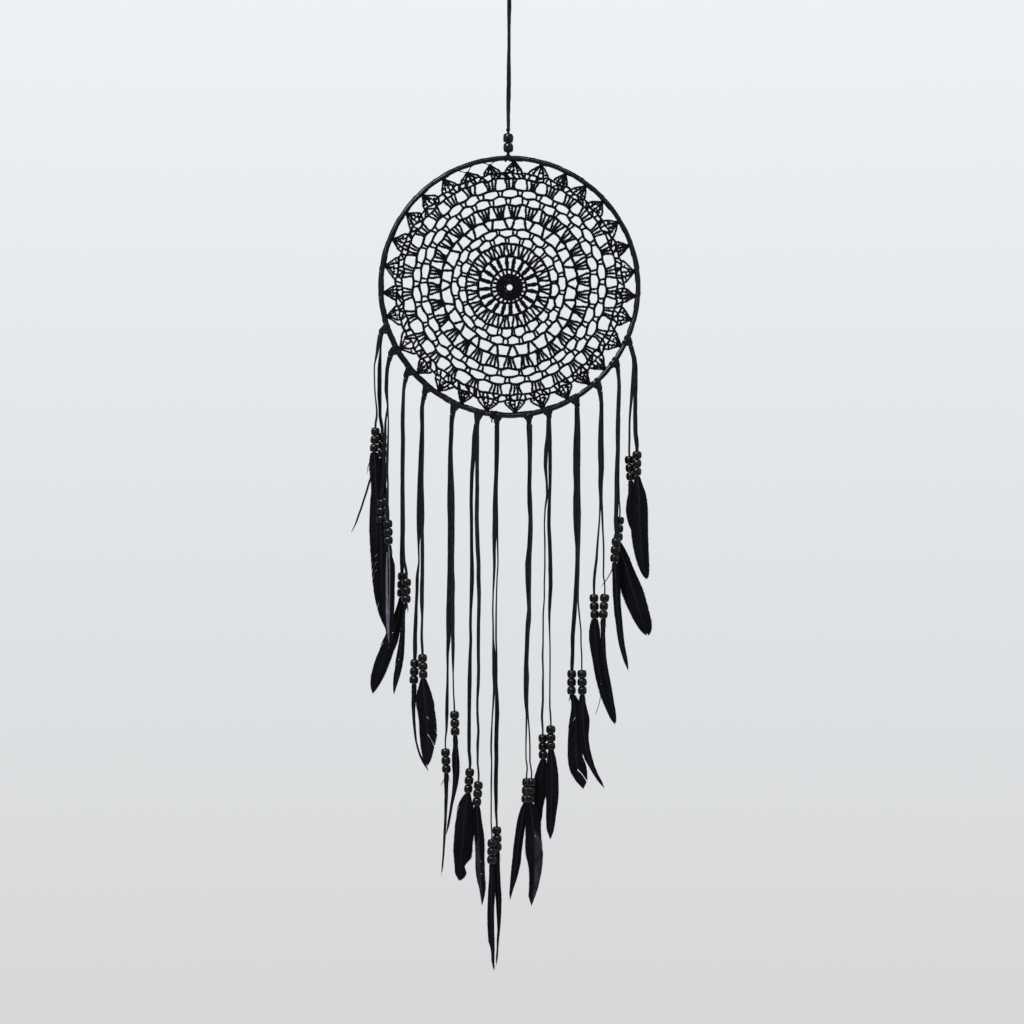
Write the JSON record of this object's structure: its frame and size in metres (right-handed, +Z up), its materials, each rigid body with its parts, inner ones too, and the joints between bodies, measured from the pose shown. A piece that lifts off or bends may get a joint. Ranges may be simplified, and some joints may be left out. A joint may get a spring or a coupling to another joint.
{
  "type": "dream catcher",
  "caption": "Round wrapped hoop with a crochet web, hung on a lace with beads, and folded lace tassels with beads and feathers below.",
  "frame": {"origin": "inner top of the hanging loop, where a nail or hook carries it", "axes": "+Z up along the hanging height, +X to the right seen from the front, the front looks along -Y"},
  "size_m": [0.2154, 0.0223, 0.7772],
  "materials": {
    "steel": "satin",
    "suede_wrap": "suede tape, matt with a slight sheen",
    "yarn": "crochet yarn, matt",
    "suede_lace": "flat suede-like lace, matt",
    "bead": "black lacquered wood, semi-gloss",
    "feather": "black feather with a blue-violet sheen"
  },
  "bodies": {
    "loop": {"hanging_loop": "suede_lace"},
    "hanger": {"hanger_cord": "suede_lace", "hanger_knot": "suede_lace", "hanger_beads": "bead"},
    "hoop": {"hoop_ring": "steel", "hoop_wrap": "suede_wrap", "crochet_web": "yarn", "lark_head_knots": "suede_lace"},
    "tassel_01": {"tail_01a": "suede_lace", "tail_01b": "suede_lace", "beads_01": "bead", "feathers_01": "feather"},
    "tassel_02": {"tail_02a": "suede_lace", "tail_02b": "suede_lace", "beads_02": "bead", "feathers_02": "feather"},
    "tassel_03": {"tail_03a": "suede_lace", "tail_03b": "suede_lace", "beads_03": "bead", "feathers_03": "feather"},
    "tassel_04": {"tail_04a": "suede_lace", "tail_04b": "suede_lace", "beads_04": "bead", "feathers_04": "feather"},
    "tassel_05": {"tail_05a": "suede_lace", "tail_05b": "suede_lace", "beads_05": "bead", "feathers_05": "feather"},
    "tassel_06": {"tail_06a": "suede_lace", "tail_06b": "suede_lace", "beads_06": "bead", "feathers_06": "feather"},
    "tassel_07": {"tail_07a": "suede_lace", "tail_07b": "suede_lace", "beads_07": "bead", "feathers_07": "feather"},
    "tassel_08": {"tail_08a": "suede_lace", "tail_08b": "suede_lace", "beads_08": "bead", "feathers_08": "feather"},
    "tassel_09": {"tail_09a": "suede_lace", "tail_09b": "suede_lace", "beads_09": "bead", "feathers_09": "feather"},
    "tassel_10": {"tail_10a": "suede_lace", "tail_10b": "suede_lace", "beads_10": "bead", "feathers_10": "feather"},
    "tassel_11": {"tail_11a": "suede_lace", "tail_11b": "suede_lace", "beads_11": "bead", "feathers_11": "feather"},
    "tassel_12": {"tail_12a": "suede_lace", "tail_12b": "suede_lace", "beads_12": "bead", "feathers_12": "feather"},
    "tassel_13": {"tail_13a": "suede_lace", "tail_13b": "suede_lace", "beads_13": "bead", "feathers_13": "feather"}
  },
  "joints": [
    {"name": "hanger_swing", "type": "hinge", "parent": "loop", "child": "hanger", "pos_m": [0, 0, -0.0275], "axis": [0, 1, 0], "range_deg": [-15, 15]},
    {"name": "hoop_turn", "type": "hinge", "parent": "hanger", "child": "hoop", "pos_m": [-0.00076, 0, -0.1525], "axis": [0, 0, 1], "range_deg": [-180, 180]},
    {"name": "tassel_01_swing", "type": "hinge", "parent": "hoop", "child": "tassel_01", "pos_m": [-0.09766, 0, -0.28765], "axis": [1, 0, 0], "range_deg": [0, 25]},
    {"name": "tassel_02_swing", "type": "hinge", "parent": "hoop", "child": "tassel_02", "pos_m": [-0.09064, 0, -0.30443], "axis": [1, 0, 0], "range_deg": [-25, 0]},
    {"name": "tassel_03_swing", "type": "hinge", "parent": "hoop", "child": "tassel_03", "pos_m": [-0.07882, 0, -0.32084], "axis": [1, 0, 0], "range_deg": [0, 25]},
    {"name": "tassel_04_swing", "type": "hinge", "parent": "hoop", "child": "tassel_04", "pos_m": [-0.0647, 0, -0.33419], "axis": [1, 0, 0], "range_deg": [-25, 25]},
    {"name": "tassel_05_swing", "type": "hinge", "parent": "hoop", "child": "tassel_05", "pos_m": [-0.04311, 0, -0.34869], "axis": [1, 0, 0], "range_deg": [-25, 25]},
    {"name": "tassel_06_swing", "type": "hinge", "parent": "hoop", "child": "tassel_06", "pos_m": [-0.02449, 0, -0.35571], "axis": [1, 0, 0], "range_deg": [-25, 25]},
    {"name": "tassel_07_swing", "type": "hinge", "parent": "hoop", "child": "tassel_07", "pos_m": [-0.00938, 0, -0.35647], "axis": [1, 0, 0], "range_deg": [-25, 25]},
    {"name": "tassel_08_swing", "type": "hinge", "parent": "hoop", "child": "tassel_08", "pos_m": [0.01503, 0, -0.35594], "axis": [1, 0, 0], "range_deg": [-25, 25]},
    {"name": "tassel_09_swing", "type": "hinge", "parent": "hoop", "child": "tassel_09", "pos_m": [0.03029, 0, -0.35212], "axis": [1, 0, 0], "range_deg": [-25, 25]},
    {"name": "tassel_10_swing", "type": "hinge", "parent": "hoop", "child": "tassel_10", "pos_m": [0.05181, 0, -0.34335], "axis": [1, 0, 0], "range_deg": [-25, 25]},
    {"name": "tassel_11_swing", "type": "hinge", "parent": "hoop", "child": "tassel_11", "pos_m": [0.0689, 0, -0.33076], "axis": [1, 0, 0], "range_deg": [-25, 25]},
    {"name": "tassel_12_swing", "type": "hinge", "parent": "hoop", "child": "tassel_12", "pos_m": [0.08256, 0, -0.31359], "axis": [1, 0, 0], "range_deg": [-25, 25]},
    {"name": "tassel_13_swing", "type": "hinge", "parent": "hoop", "child": "tassel_13", "pos_m": [0.09225, 0, -0.29642], "axis": [1, 0, 0], "range_deg": [-25, 25]}
  ]
}
